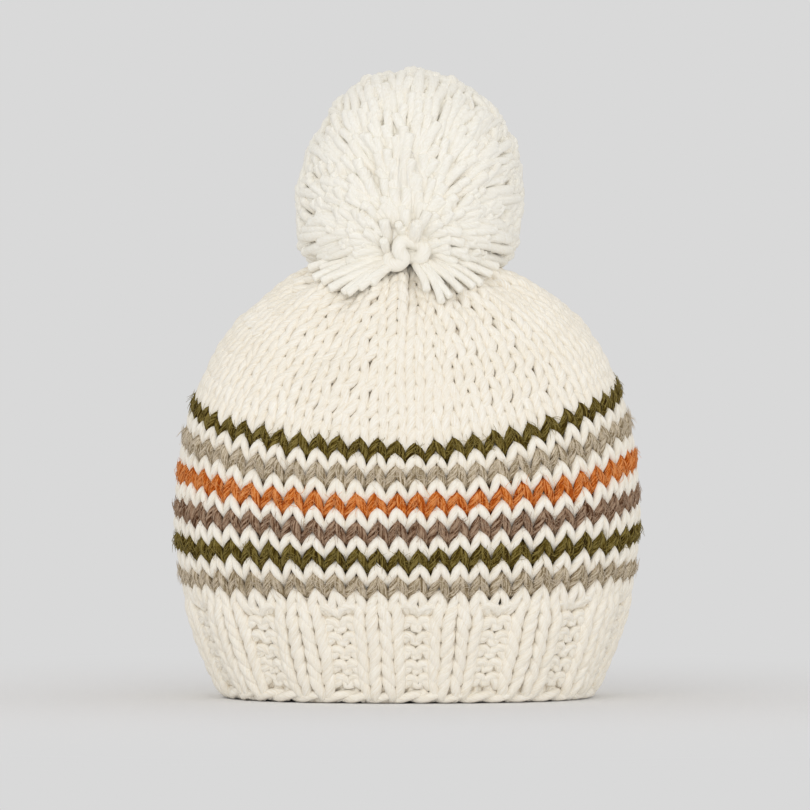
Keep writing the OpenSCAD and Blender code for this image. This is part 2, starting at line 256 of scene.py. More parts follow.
class Yarns:
    """Collects tubes of yarn into one mesh."""

    def __init__(self, name):
        self.name = name
        self.points, self.faces, self.space, self.tints, self.depths = [], [], [], [], []
        self.count = 0

    def tube(
        self, path, radius, reference, closed=False, sides=8, twist=0.0, tint=0.0, start=0.0, depth=2.0
    ):
        """A tube along path (mm). reference is a direction that the path never runs along.
        depth says how far out of the work each point lies (mm): sunken yarn is coloured darker, as
        painted shade."""
        n = len(path)
        if closed:
            along = unit(np.roll(path, -1, 0) - np.roll(path, 1, 0))
            steps = norm(np.roll(path, -1, 0) - path)
        else:
            along = unit(np.gradient(path, axis=0))
            steps = norm(np.diff(path, axis=0))
        length = start + np.concatenate([[0], np.cumsum(steps)[: n - 1]])
        side = unit(np.cross(along, reference))
        up = np.cross(side, along)
        turn = 2 * np.pi * np.arange(sides) / sides
        radius = np.broadcast_to(radius, n)
        ring = np.cos(turn)[:, None] * side[:, None] + np.sin(turn)[:, None] * up[:, None]
        verts = path[:, None] + radius[:, None, None] * ring
        spin = turn + twist * length[:, None]
        thick = radius[:, None]
        space = xyz(length[:, None], thick * np.cos(spin), thick * np.sin(spin))
        base = self.count
        i = np.arange(n if closed else n - 1)
        self.faces.append(quads_between(base + i * sides, base + (i + 1) % n * sides, sides))
        depth = np.broadcast_to(depth, n)
        depths = depth[:, None] + thick * np.sin(turn)
        self.add(verts.reshape(-1, 3), space.reshape(-1, 3), depths.ravel(), tint)
        if not closed:
            for end, bulge, first in ((0, -0.2, base), (-1, 0.1, base + (n - 1) * sides)):
                tip = path[end] + bulge * radius[end] * along[end]
                self.fan(first, sides, self.count, reverse=end == 0)
                self.add(tip[None], np.array([[length[end], 0.0, 0.0]]), depth[end], tint)

    def add(self, points, space, depth, tint=0.0):
        self.points.append(points)
        self.space.append(space)
        self.depths.append(np.broadcast_to(depth, len(points)))
        self.tints.append(np.full(len(points), tint))
        self.count += len(points)

    def fan(self, first, size, tip, reverse=False):
        """Triangles from a ring of size vertices to one tip."""
        k = np.arange(size)
        faces = np.stack([first + k, first + (k + 1) % size, np.full(size, tip)], -1)
        self.faces.append(faces[:, ::-1] if reverse else faces)

    def build(self, material):
        mesh = bpy.data.meshes.new(self.name)
        points = np.concatenate(self.points) * MM
        faces = sorted(self.faces, key=lambda f: -f.shape[1])
        loops = np.concatenate([f.ravel() for f in faces])
        sizes = np.concatenate([np.full(len(f), f.shape[1]) for f in faces])
        starts = np.cumsum(sizes) - sizes
        mesh.vertices.add(len(points))
        mesh.vertices.foreach_set("co", points.astype(np.float32).ravel())
        mesh.loops.add(len(loops))
        mesh.loops.foreach_set("vertex_index", loops.astype(np.int32))
        mesh.polygons.add(len(starts))
        mesh.polygons.foreach_set("loop_start", starts.astype(np.int32))
        mesh.update(calc_edges=True)
        mesh.validate()
        mesh.polygons.foreach_set("use_smooth", np.ones(len(mesh.polygons), bool))
        space = mesh.attributes.new("yarn_space", "FLOAT_VECTOR", "POINT")
        space.data.foreach_set("vector", np.concatenate(self.space).astype(np.float32).ravel())
        for name, values in (("yarn_tint", self.tints), ("yarn_depth", self.depths)):
            attribute = mesh.attributes.new(name, "FLOAT", "POINT")
            attribute.data.foreach_set("value", np.concatenate(values).astype(np.float32))
        mesh.materials.append(material)
        return link_object(self.name, mesh)


def smooth_loop(control, samples):
    """A closed Catmull-Rom curve through stitches of points, with samples[i] points on span i."""
    flat = control.reshape(-1, control.shape[-1])
    shape = control.shape
    p0, p1, p2, p3 = (np.roll(flat, k, 0).reshape(shape) for k in (1, 0, -1, -2))
    spans = []
    for i, count in enumerate(samples):
        t = (np.arange(count) / count)[:, None]
        q0, q1, q2, q3 = (p[:, i, None] for p in (p0, p1, p2, p3))
        squared, cubed = 2 * q0 - 5 * q1 + 4 * q2 - q3, 3 * q1 - q0 - 3 * q2 + q3
        spans.append(0.5 * (2 * q1 + (q2 - q0) * t + squared * t ** 2 + cubed * t ** 3))
    return np.concatenate(spans, 1).reshape(-1, shape[-1])


# Half a loop, from the yarn between two stitches to the middle of the loop's head:
# across (stitch widths), up (rounds), out (mm) and yarn radius (mm)
KNIT_HALF = [
    (-0.5, -1.0, -2.1, 1.9), (-0.26, -1.06, -2.2, 1.75),
    (-0.07, -0.9, -1.8, 1.35), (-0.06, -0.58, -0.6, 1.45),
    (-0.17, -0.14, 0.9, 1.85), (-0.31, 0.32, 1.5, 2.0),
    (-0.42, 0.7, 0.9, 1.8), (-0.38, 0.96, -0.9, 1.5),
    (-0.2, 1.04, -2.0, 1.75), (0.0, 1.06, -2.2, 1.9),
]
# The legs of plain rounds of one colour lie closer and more upright, each foot over the leg below
CROWN_HALF = [
    (-0.5, -1.0, -1.9, 2.1), (-0.27, -1.06, -1.9, 1.95),
    (-0.12, -0.92, -1.1, 1.4), (-0.12, -0.64, 0.2, 1.5),
    (-0.2, -0.16, 1.1, 1.95), (-0.28, 0.3, 1.2, 2.1),
    (-0.35, 0.74, 0.5, 1.9), (-0.32, 1.02, -0.9, 1.8),
    (-0.19, 1.08, -1.9, 1.9), (0.0, 1.1, -2.0, 2.1),
]
RIB_KNIT_HALF = [
    (-0.5, -0.95, -1.6, 1.9), (-0.32, -0.98, -1.6, 1.8),
    (-0.2, -0.88, -0.9, 1.8), (-0.16, -0.6, 0.3, 2.1),
    (-0.2, -0.14, 1.0, 2.3), (-0.28, 0.3, 1.2, 2.3),
    (-0.33, 0.76, 0.7, 2.25), (-0.3, 1.04, -0.5, 2.0),
    (-0.15, 1.1, -1.5, 1.8), (0.0, 1.12, -1.7, 1.9),
]
PURL_HALF = [
    (-0.5, -0.8, 1.2, 1.95), (-0.32, -0.72, 1.1, 1.95),
    (-0.14, -0.5, 0.4, 1.8), (-0.1, -0.24, -0.8, 1.7),
    (-0.22, -0.04, -1.3, 1.7), (-0.32, 0.1, -1.3, 1.7),
    (-0.42, 0.24, -0.9, 1.7), (-0.44, 0.46, 0.3, 1.8),
    (-0.27, 0.66, 1.1, 1.95), (0.0, 0.78, 1.2, 1.95),
]
HALF_SAMPLES = [1, 1, 1, 2, 2, 2, 2, 1, 1]
LOOP_SAMPLES = HALF_SAMPLES + HALF_SAMPLES[::-1]


def whole_loop(half):
    """Both halves of a loop. The last point is left to the next stitch."""
    left = np.array(half)
    right = left[-2:0:-1] * [-1, 1, 1, 1]
    return np.concatenate([left, right])


KNIT, CROWN, RIB_KNIT, PURL = (whole_loop(h) for h in (KNIT_HALF, CROWN_HALF, RIB_KNIT_HALF, PURL_HALF))
# The first plain round stands on the rib with the rib's wide legs
ON_RIB = whole_loop(RIB_KNIT_HALF[:5] + KNIT_HALF[5:])
# The two purl stitches of a rib slant towards each other
PURL_SLANT = 0.45
PURL_LEFT = PURL + np.outer(PURL[:, 0], [0, -PURL_SLANT, 0, 0])
PURL_RIGHT = PURL + np.outer(PURL[:, 0], [0, PURL_SLANT, 0, 0])
RIBBED = [PURL_LEFT, PURL_RIGHT, RIB_KNIT, RIB_KNIT]

SECTORS = 6  # the crown's decreases lie on as many lines


def stitch_centres(count):
    """Where the stitches of a round lie, in columns of the full round."""
    per_sector = count // SECTORS
    places = (np.arange(per_sector) + 0.5) / per_sector * (STITCHES / SECTORS)
    return (np.arange(SECTORS)[:, None] * (STITCHES / SECTORS) + places).ravel() - 0.5


def foot_centres(count, below):
    """Where each stitch stands on the round below: the last of a sector may stand on two."""
    centres = stitch_centres(below).reshape(SECTORS, -1)
    now = count // SECTORS
    merged = below // SECTORS - now + 1
    last = centres[:, now - 1 :][:, :merged].mean(1, keepdims=True)
    return np.concatenate([centres[:, : now - 1], last], 1).ravel()


HAIR_RADIUS = 0.11
HAIR_LENGTH = (2.5, 6.5)
HAIR_DEPTH = 8.0  # marks loose fibres for the material, which colours them light
ON_TOP = 0.3  # yarn that stands out this far (mm) has loose fibres


def add_fuzz(yarns, path, radius, normal, out, rng, count):
    """Fine loose fibres that stand off the raised parts of a yarn."""
    along = unit(np.roll(path, -1, 0) - np.roll(path, 1, 0))
    t = np.linspace(0, 1, 5)[:, None]
    for i in rng.choice(np.flatnonzero(out > ON_TOP), count):
        length = rng.uniform(*HAIR_LENGTH)
        across = np.cross(along[i], normal[i])
        way = unit(rng.choice([-1, 1]) * along[i] + rng.normal(0, 0.8) * across)
        lift = 0.9 * radius[i] + rng.uniform(0.1, 0.6) * np.sin(0.8 * np.pi * t)
        bow = rng.normal(0, 0.16) * length * np.sin(np.pi * t)
        hair = path[i] + length * t * way + lift * normal[i] + bow * np.cross(way, normal[i])
        hair = hair + rng.uniform(-0.7, 0.7) * radius[i] * across
        yarns.tube(
            hair, HAIR_RADIUS * np.array([0.8, 1, 1, 0.8, 0.4]), normal[i], sides=3,
            tint=rng.uniform(-1, 1), start=rng.uniform(0, 60), depth=HAIR_DEPTH,
        )


FULL_GAUGE = 7.6  # a stitch narrower than this (mm) is knitted of finer-looking, squeezed yarn
TABLE_GAP = 0.1  # the lowest loops stay this far above the table
# How unevenly a stitch is made: across (stitches), in height and level (rounds), out (mm), in its yarn
LOOSE_ACROSS, LOOSE_HEIGHT, LOOSE_UP, LOOSE_OUT, LOOSE_YARN = 0.03, 0.03, 0.035, 0.18, 0.05


def circumference(row):
    c = np.arange(0, STITCHES + 1, 1.0)
    ring = middle(c, np.full_like(c, row))
    return float(norm(np.diff(ring, axis=0)).sum())


def knit_round(
    yarns, row, height, count, rng, profiles, below=None, thickness=1.0, tilted=0.08, hairs=0
):
    """One closed round of loops. profiles repeat round the hat; below is the last round's count."""
    centres = stitch_centres(count)
    feet = centres if below is None else foot_centres(count, below)
    width = STITCHES / count
    control = np.stack([profiles[int(round(c)) % len(profiles)] for c in centres])
    start = control[:, 0, 1:].copy()
    control[:, 0, 1:] = 0.5 * (start + np.roll(start, 1, 0))
    inner = (1 - 2 * np.abs(control[:, :, 0])).clip(0)
    one_each = (count, 1)
    across = control[:, :, 0] + rng.normal(0, LOOSE_ACROSS, one_each) * inner
    up = control[:, :, 1] * (1 + rng.normal(0, LOOSE_HEIGHT, one_each))
    up = up + rng.normal(0, LOOSE_UP, one_each)
    up = up + rng.normal(0, tilted, one_each) * across * inner
    out = control[:, :, 2] + rng.normal(0, LOOSE_OUT, one_each)
    legs = 1 + rng.normal(0, LOOSE_YARN, (count, 2))
    fat = np.where(control[:, :, 0] < 0, legs[:, :1], legs[:, 1:])
    radius = control[:, :, 3] * fat * thickness
    stand = ease((control[:, :, 1] + 1.0) / 1.2)
    shift = (feet - centres)[:, None] * (1 - stand)
    shift[:, 0] = 0.5 * (shift[:, 0] + np.roll(shift[:, 0], 1))
    column = centres[:, None] + across * width + shift
    points = np.stack([column, row + height * (0.5 + up), out, radius], -1)
    # Columns are unrolled before smoothing, as the first point follows the last round the hat
    step = STITCHES / points[:, :, 0].size
    drift = (np.arange(points[:, :, 0].size) * step).reshape(points.shape[:2])
    points[:, :, 0] -= drift
    flat = smooth_loop(points, LOOP_SAMPLES)
    fine = np.concatenate([i + np.arange(k) / k for i, k in enumerate(LOOP_SAMPLES)])
    flat[:, 0] += ((np.arange(count)[:, None] * len(LOOP_SAMPLES) + fine) * step).ravel()
    gauge = min(1, circumference(row + 0.5 * height) / count / FULL_GAUGE)
    depth = flat[:, 2] * gauge + rib_depth(flat[:, 0], flat[:, 1])
    path = cloth_point(flat[:, 0], flat[:, 1], depth)
    radius = flat[:, 3] * gauge
    path[:, 2] = np.maximum(path[:, 2], radius + TABLE_GAP)
    normal = outward(flat[:, 0], flat[:, 1])
    # The loops' depth out of the work sets their painted shade
    yarns.tube(
        path, radius, normal, closed=True, sides=10, twist=0.3,
        tint=rng.uniform(-1, 1), start=rng.uniform(0, 90), depth=flat[:, 2],
    )
    if hairs:
        add_fuzz(yarns, path, radius, normal, flat[:, 2], rng, hairs)


CORE_OUT = -0.9
CORE_THICKNESS = 1.0
CORE_LOWEST = 0.3  # above the table, in mm
CORE_POINTS = 4  # in a stitch


def core(yarns, low, high, rows, dip=0.0, outer=CORE_OUT):
    """The felted middle of the fabric, which shows between the loops: a thin closed band, whose depth
    gives it painted shade.
    Its edges rise over the legs of the stitches and dip between them, or the other way round."""
    column = np.arange(STITCHES * CORE_POINTS) / CORE_POINTS - 0.5
    n = len(column)
    teeth = dip * np.cos(2 * np.pi * column)
    levels = [low + (high - low) * t + teeth for t in np.linspace(0, 1, rows)]
    rings = [(level, outer) for level in levels]
    rings += [(level, outer - CORE_THICKNESS) for level in levels[::-1]]
    base = yarns.count
    for level, depth in rings:
        points = cloth_point(column, level, depth + rib_depth(column, level))
        points[:, 2] = np.maximum(points[:, 2], CORE_LOWEST)
        yarns.add(points, xyz(column * 8.0, depth, level * ROW_HEIGHT), depth)
    i = np.arange(len(rings))
    yarns.faces.append(quads_between(base + i * n, base + (i + 1) % len(rings) * n, n))


# ---------------- materials


def srgb(r, g, b):
    """A colour given in the usual 0 to 255 values, as linear light."""
    channel = [c / 255 for c in (r, g, b)]
    return tuple(c / 12.92 if c <= 0.04045 else ((c + 0.055) / 1.055) ** 2.4 for c in channel)


def node_tree(owner):
    owner.use_nodes = True
    return owner.node_tree.nodes, owner.node_tree.links


def set_inputs(node, values):
    for name, value in values.items():
        node.inputs[name].default_value = value


def yarn_material(name, dark, mid, light, painted_shade, blur=0.19, bump=0.12, sheen=0.06, sunk=(-2.6, 1.0)):
    """Spun yarn: its fibres run in lighter and darker streaks, and sunken yarn takes a darker colour,
    painted shade.
    blur widens the change between streaks; sunk says between which depths (mm) the painted shade fades."""
    material = bpy.data.materials.new(name)
    nodes, links = node_tree(material)
    dark, mid, light, painted_shade = (srgb(*colour) for colour in (dark, mid, light, painted_shade))
    shader = nodes["Principled BSDF"]
    set_inputs(shader, {"Roughness": 0.9, "Specular IOR Level": 0.06})
    set_inputs(shader, {"Sheen Weight": sheen, "Sheen Roughness": 0.6})

    def attribute(name):
        node = nodes.new("ShaderNodeAttribute")
        node.attribute_name = name
        return node

    space, tint, depth = (attribute(n) for n in ("yarn_space", "yarn_tint", "yarn_depth"))

    def noise(scale, stretch, detail):
        mapping = nodes.new("ShaderNodeMapping")
        set_inputs(mapping, {"Scale": (stretch, 1, 1)})
        links.new(space.outputs["Vector"], mapping.inputs["Vector"])
        texture = nodes.new("ShaderNodeTexNoise")
        set_inputs(texture, {"Scale": scale, "Detail": detail, "Roughness": 0.55})
        links.new(mapping.outputs["Vector"], texture.inputs["Vector"])
        return texture.outputs["Fac"]

    def ranged(value, low, high, to_low=0.0, to_high=1.0):
        node = nodes.new("ShaderNodeMapRange")
        node.interpolation_type = "SMOOTHSTEP"
        set_inputs(node, {"From Min": low, "From Max": high, "To Min": to_low, "To Max": to_high})
        links.new(value, node.inputs["Value"])
        return node.outputs["Result"]

    def mixed(factor, first, second):
        """Each of the two colours may be a plain colour or another node's output."""
        mix = nodes.new("ShaderNodeMix")
        mix.data_type = "RGBA"
        links.new(factor, mix.inputs["Factor"])
        for socket, value in ((mix.inputs[6], first), (mix.inputs[7], second)):
            if isinstance(value, tuple):
                socket.default_value = (*value, 1)
            else:
                links.new(value, socket)
        return mix.outputs[2]

    fibres = noise(1.5, 0.14, 3.0)
    lumps = noise(0.28, 0.6, 1.0)
    out = depth.outputs["Fac"]
    streaks = mixed(ranged(fibres, 0.5 - blur, 0.5), dark, mid)
    streaks = mixed(ranged(fibres, 0.5, 0.5 + blur), streaks, light)
    streaks = mixed(ranged(lumps, 0.35, 0.75, 0.0, 0.3), streaks, mid)
    streaks = mixed(ranged(tint.outputs["Fac"], -1, 1, 0.0, 0.18), streaks, dark)
    streaks = mixed(ranged(out, HAIR_DEPTH - 3, HAIR_DEPTH - 2, 0.0, 0.9), streaks, light)
    # Painted shade: the deeper the yarn lies in the work, the more it takes the shade colour
    shaded = mixed(ranged(out, *sunk, 0.92, 0.0), streaks, painted_shade)
    links.new(shaded, shader.inputs["Base Color"])
    relief = nodes.new("ShaderNodeBump")
    set_inputs(relief, {"Strength": bump, "Distance": 0.0008})
    links.new(fibres, relief.inputs["Height"])
    links.new(relief.outputs["Normal"], shader.inputs["Normal"])
    return material


# Each yarn's dark, middle and light streaks and the painted shade of its sunken parts, as 0 to 255
# values
CREAM = yarn_material(
    "cream_yarn", (238, 229, 211), (247, 241, 229), (252, 249, 241), (200, 174, 134), sheen=0.2
)
# The pompom's strands take a pale painted shade, more the deeper they lie under its trimmed surface
POM_CREAM = yarn_material(
    "pom_yarn", (241, 236, 224), (247, 244, 235), (251, 249, 243), (238, 225, 203),
    sheen=0.2, sunk=(-16.0, -1.0),
)
# The dyed yarns' sunk range puts painted shade on the sides of their legs as well
DYED = {"blur": 0.10, "bump": 0.5, "sheen": 0.02, "sunk": (-1.2, 2.4)}
OLIVE = yarn_material("olive_yarn", (42, 27, 0), (100, 84, 29), (150, 134, 76), (12, 8, 0), **DYED)
GREY = yarn_material("grey_yarn", (124, 107, 79), (189, 174, 148), (226, 213, 193), (54, 40, 20), **DYED)
ORANGE = yarn_material("orange_yarn", (150, 58, 2), (214, 121, 46), (240, 168, 106), (88, 24, 0), **DYED)
BROWN = yarn_material("brown_yarn", (70, 41, 22), (145, 115, 91), (182, 157, 134), (24, 11, 4), **DYED)

# ---------------- the knitted hat


def finish_piece(yarns, material, body, node, slot=None):
    piece = yarns.build(material)
    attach(piece, body)
    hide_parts(node)
    # Blender numbers the names, because the CAD's materials have the same ones
    slot or material.name.split(".")[0]


RIB_ROUNDS = 6
RIB_PITCH = (RIB_END - RIB_START) / RIB_ROUNDS
RIB_CORE_OUT = -0.2


def make_rib():
    rng = np.random.default_rng(11)
    for part, first, end in (("lower", 0, 3), ("upper", 3, RIB_ROUNDS)):
        yarns = Yarns("rib_stitches_" + part)
        for i in range(first, end):
            knit_round(yarns, RIB_START + i * RIB_PITCH, RIB_PITCH, STITCHES, rng, RIBBED, tilted=0.3)
        low, high = RIB_START + first * RIB_PITCH, RIB_START + end * RIB_PITCH
        core(yarns, low + 0.1, high, 5, outer=RIB_CORE_OUT)
        finish_piece(yarns, CREAM, "hat", "rib_band")


# How far the strands of the cast-on edge swing, and its middle's height, in mm
CAST_ON_OUT, CAST_ON_UP, CAST_ON_HEIGHT = 1.7, 1.1, 3.1
CAST_ON_POINTS = 14  # in a stitch


def make_cast_on():
    """Two strands wound round each other; each crossing shows as one slanted loop of the edge."""
    yarns = Yarns("cast_on_loops")
    column = np.arange(STITCHES * CAST_ON_POINTS) / CAST_ON_POINTS
    row = np.full_like(column, RIB_START)
    side = outward(column, row)
    side[:, 2] = 0
    side = unit(side)
    for strand in range(2):
        turn = 0.7 * np.pi * column + np.pi * strand
        path = middle(column, row) + (CAST_ON_OUT * np.cos(turn))[:, None] * side
        path[:, 2] = CAST_ON_HEIGHT + CAST_ON_UP * np.sin(turn)
        radius = 1.85 + 0.12 * np.cos(turn)
        yarns.tube(path, radius, [0.0, 0.0, 1.0], closed=True, twist=0.5, start=40 * strand)
    finish_piece(yarns, CREAM, "hat", "cast_on_edge")


STITCH_DIP = -0.3  # how far a plain round's edge dips over a leg and rises beside it, in rounds
STRIPE_HAIRS = 900

SINGLE_ROUNDS = [
    ("cream_round_1", CREAM), ("grey_round_lower", GREY), ("cream_round_2", CREAM),
    ("olive_round_lower", OLIVE), ("cream_round_3", CREAM), ("brown_round", BROWN),
    ("cream_round_4", CREAM), ("orange_round", ORANGE), ("cream_round_5", CREAM),
    ("grey_round_upper", GREY), ("cream_round_6", CREAM), ("olive_round_upper", OLIVE),
]


def make_stripes():
    for i, (node, material) in enumerate(SINGLE_ROUNDS):
        rng = np.random.default_rng(100 + i)
        yarns = Yarns(node + "_stitches")
        thickness, hairs = (0.93, 0) if material is CREAM else (0.98, STRIPE_HAIRS)
        loops = ON_RIB if i == 0 else KNIT
        knit_round(yarns, RIB_END + i, 1, STITCHES, rng, [loops], thickness=thickness, hairs=hairs)
        core(yarns, RIB_END + i, RIB_END + i + 1, 3, dip=STITCH_DIP)
        finish_piece(yarns, material, "hat", node)


# Stitches in a round of the crown from each of these rounds on: they stay equally wide
CROWN_COUNTS = {19: 60, 21: 54, 23: 48, 25: 42, 27: 36, 29: 30, 30: 24, 32: 18, 33: 12}
CROWN_PIECES = [
    ("crown_sides", "lower", 19, 22), ("crown_sides", "upper", 22, 25),
    ("crown_top", "lower", 25, 29), ("crown_top", "upper", 29, 35),
]


def crown_count(row):
    return CROWN_COUNTS[max(k for k in CROWN_COUNTS if k <= max(row, STRIPES_END))]


def make_crown():
    rng = np.random.default_rng(13)
    for node, part, first, end in CROWN_PIECES:
        yarns = Yarns(node + "_stitches_" + part)
        for row in range(first, end):
            knit_round(yarns, row, 1, crown_count(row), rng, [CROWN], below=crown_count(row - 1))
        core(yarns, first, min(end + 0.2, CLOSING_ROUND - 0.3), 3 * (end - first) + 1)
        finish_piece(yarns, CREAM, "hat", node)


# ---------------- the crown's gather and the tie

FACING = np.array([0.0, -sin(CROWN_LEAN), cos(CROWN_LEAN)])
BACKWARD = np.array([0.0, cos(CROWN_LEAN), sin(CROWN_LEAN)])
RIGHTWARD = np.array([1.0, 0.0, 0.0])
GATHER = centre(centre_z(CLOSING_ROUND))
NECK_HEIGHT = CLOTH / 2 + 3.5
PIVOT = GATHER + NECK_HEIGHT * FACING
POM_RADIUS = 49.0
POM_CENTRE = np.array([0.0, PIVOT[1] + 22, PIVOT[2] + 28])


def at_gather(points):
    """Points given as right, back and up from the gather, in mm."""
    points = np.asarray(points, float)
    return GATHER + points[..., :1] * RIGHTWARD + points[..., 1:2] * BACKWARD + points[..., 2:3] * FACING


# ---------------- the pompom


def crown_grid():
    """Points all over the crown, with their outward directions."""
    rows = np.linspace(STRIPES_END - 2, CLOSING_ROUND, 60)
    c, r = (v.ravel() for v in np.meshgrid(np.arange(0, STITCHES, 0.5), rows))
    return np.vstack([middle(c, r), GATHER]), np.vstack([outward(c, r), FACING])


def clear_of_crown(paths, clearance):
    """Pushes points that dip into the crown back out of it."""
    points, normals = crown_grid()
    flat = paths.reshape(-1, 3)
    out = flat.copy()
    for i in range(0, len(flat), 2000):
        part = flat[i : i + 2000]
        near = np.argmin(((part[:, None] - points) ** 2).sum(-1), 1)
        height = ((part - points[near]) * normals[near]).sum(-1)
        push = np.clip(clearance - height, 0, None)
        out[i : i + 2000] = part + push[:, None] * normals[near]
    return out.reshape(paths.shape)


POM_YARN = 2.1  # the radius of a strand
ON_CROWN = CLOTH / 2 + POM_YARN  # how far over the cloth's middle a strand lies on the crown
BODY_STRANDS = 2900
HIDDEN_FRONT = 0.86  # strands nearer the front than this are wholly under the combed ones
LOWEST_RISE = -0.62  # strands that would leave the tie more steeply downwards are left out
SEEN_TO_TIE = 12  # strands nearer the underside than this (degrees) are seen down to the tie
FRONT_CAP = 0.28  # strands nearer the front than this are combed up from the knot
FRONT_ROOT = np.array([0.6, -31.5, 187.0])
SKIRT_SIDE, FRONT_DROOP, BACK_DROOP = 2, 7, 13.5
PACKED_DEPTH = 6.0  # how far the strands' packed middle lies under the trimmed surface


def on_ball(count, rng):
    """Directions spread evenly over a ball."""
    i = np.arange(count) + 0.5
    polar = np.arccos(1 - 2 * i / count)
    azimuth = np.pi * (1 + 5 ** 0.5) * i
    ball = xyz(np.sin(polar) * np.cos(azimuth), np.sin(polar) * np.sin(azimuth), np.cos(polar))
    return unit(ball + rng.normal(0, 0.025, ball.shape))


FULLER, SHAVED = 5.5, 4.7  # at the bottom and at the upper left, in mm
SHAVED_AT, SHAVED_WIDTH = 23.5, 28  # degrees over the left side


def trimmed_radius(ball):
    """The pompom's radius in a direction: fuller at the bottom, trimmed closer at the upper left."""
    x, z = ball[..., 0], ball[..., 2]
    full = FULLER * ease((-z - 0.1) / 0.6)
    turn = np.degrees(np.arctan2(z, -x))
    edge = x ** 2 + z ** 2
    shaved = SHAVED * np.exp(-(((turn - SHAVED_AT) / SHAVED_WIDTH) ** 2)) * edge
    lumps = 0.7 * cos(15 * (turn - 92)) * edge
    return POM_RADIUS + full - shaved + lumps


def skirt(turned):
    """How steeply the underside rises from the tie, in degrees. turned is 1 behind, -1 in front."""
    return SKIRT_SIDE - np.where(turned > 0, BACK_DROOP, FRONT_DROOP) * turned ** 6


def above_skirt(path):
    """How many degrees the free part of a strand stays above the pompom's underside."""
    rel = path - PIVOT
    length = norm(rel)
    rel, length = rel[length > 10], length[length > 10]
    above = np.degrees(np.arcsin(np.clip(rel @ FACING / length, -1, 1)))
    turned = unit(xyz(rel[:, 0], rel @ BACKWARD))[:, 1]
    return (above - skirt(turned)).min()


LIFT = 3  # strands that come nearer the underside than this (degrees) lie on the crown
SIDE_SHARE = 1.7  # side strands end at least so far across, against how far back they end
BACK_OF_SIDES = -14  # and behind this, in mm from the tie


class Pompom:
    """Sorts strands into those that turn with the pompom and those that lie on the crown."""

    def __init__(self):
        self.back, self.sides, self.front, self.lower, self.lower_sides = (
            Yarns("pom_strands_" + part) for part in ("back", "sides", "front", "lower", "lower_sides")
        )

    def strand(self, yarns, path, radius, rng, sides, skin):
        """skin says how far under the pompom's trimmed surface each point lies, in mm; deeper points
        take more painted shade.
        """
        end = unit(path[-1] - path[-2])
        path = np.concatenate([path, path[-1] + np.outer([0.35, 0.6], end)])
        radius = np.concatenate([radius, radius[-1] * np.array([0.95, 0.74])])
        skin = np.concatenate([skin, skin[-1:], skin[-1:]])
        reference = unit(np.cross(path[-1] - path[0], rng.normal(0, 1, 3)))
        if above_skirt(path) <= LIFT:
            across, back = path[-1, 0] - PIVOT[0], (path[-1] - PIVOT) @ BACKWARD
            at_side = abs(across) > SIDE_SHARE * abs(back) and back > BACK_OF_SIDES
            yarns = self.lower_sides if at_side else self.lower
        yarns.tube(
            path, radius, reference, sides=sides, twist=0.3,
            tint=rng.uniform(-1, 1), start=rng.uniform(0, 60), depth=-skin,
        )

    def build(self):
        for yarns in (self.back, self.sides, self.front):
            finish_piece(yarns, POM_CREAM, "pompom", "pom_strands")
        # The low strands, and those low at the sides, are built as pieces of their own
        for yarns, lower_body, upper_body in (
            (self.lower, "hat", "tie_bend"), (self.lower_sides, "tie_bend", "pompom"),
        ):
            piece = yarns.build(POM_CREAM)
            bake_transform(piece)
            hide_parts("pom_strands")


def packed_middle(yarns):
    """The strands' packed middle, which closes the view between them: a ridged body round the tie."""
    around, levels = 160, 26
    turn = 2 * np.pi * np.arange(around) / around
    lowest = skirt(np.sin(turn)) + 5
    flat = np.cos(turn)[:, None] * RIGHTWARD + np.sin(turn)[:, None] * BACKWARD
    rings = []
    for t in np.linspace(0, 1, levels, endpoint=False):
        rise = lowest + (90 - lowest) * t
        aim = cos(rise)[:, None] * flat + sin(rise)[:, None] * FACING
        reach = np.full(around, 20.0)
        for _ in range(6):
            out = PIVOT + reach[:, None] * aim - POM_CENTRE
            reach = reach + 0.8 * (trimmed_radius(unit(out)) - PACKED_DEPTH - norm(out))
        ridges = 0.7 * np.sin(40 * turn + 3 * np.sin(7 * t)) + 0.5 * np.sin(61 * turn + 9 * t)
        rings.append(PIVOT + (reach + ridges)[:, None] * aim)
    top = PIVOT + (norm(rings[-1] - PIVOT).mean() + 0.3) * FACING
    bottom = PIVOT + 3.0 * FACING
    points = np.concatenate([*rings, top[None], bottom[None]])
    base, tip = yarns.count, yarns.count + levels * around
    i = np.arange(levels - 1)
    yarns.faces.append(quads_between(base + i * around, base + (i + 1) * around, around))
    yarns.fan(tip - around, around, tip)
    yarns.fan(base, around, tip + 1, reverse=True)
    # Its depth of 4 mm gives it a little painted shade
    yarns.add(points, (points - PIVOT) * [1.0, 1.0, 0.2], -4.0)


def combed(ball, ends, rng):
    """The direction in which the strands' ends lie over: away from the tie, a little tangled."""
    away = unit(ends - PIVOT)
    away = away - (away * ball).sum(-1, keepdims=True) * ball
    away = away / np.maximum(norm(away), 0.2)[:, None]
    way = away + rng.normal(0, 0.24, ball.shape)
    way = way - (way * ball).sum(-1, keepdims=True) * ball
    return way / np.maximum(norm(way), 0.7)[:, None]


# A strand's last part bends over into the pompom's surface: how far out and along each point lies (mm)
BENT_OUT = np.array([0.0, 2.6, 4.4, 5.6, 6.5, 7.3])
BENT_ALONG = np.array([0.0, 0.9, 3.1, 6.2, 9.2, 12.0])


